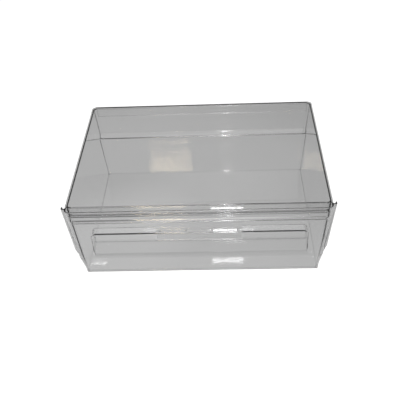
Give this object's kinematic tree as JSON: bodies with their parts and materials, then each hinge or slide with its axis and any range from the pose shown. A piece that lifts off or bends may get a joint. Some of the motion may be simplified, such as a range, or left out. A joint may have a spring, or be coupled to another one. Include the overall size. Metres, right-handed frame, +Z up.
{
  "type": "crisper drawer",
  "caption": "Clear open-topped refrigerator crisper drawer with leaning walls, a stepped rear wall and a clipped-on winged front panel with a finger recess.",
  "frame": {"origin": "middle of the whole drawer in plan, on the flat underside that it stands on", "axes": "+Z up, -Y out of the finger recess towards the user, +X to the user's right when facing the front"},
  "size_m": [0.4726, 0.338, 0.165],
  "materials": {
    "clear_bin": "polished clear injection moulding with a faint grey tint",
    "clear_panel": "polished clear injection moulding with a faint grey tint",
    "clear_grip": "clear injection moulding, ribbed on the finger side"
  },
  "bodies": {
    "root": {"bin": "clear_bin", "front_panel": "clear_panel", "finger_grip": "clear_grip"}
  },
  "joints": []
}
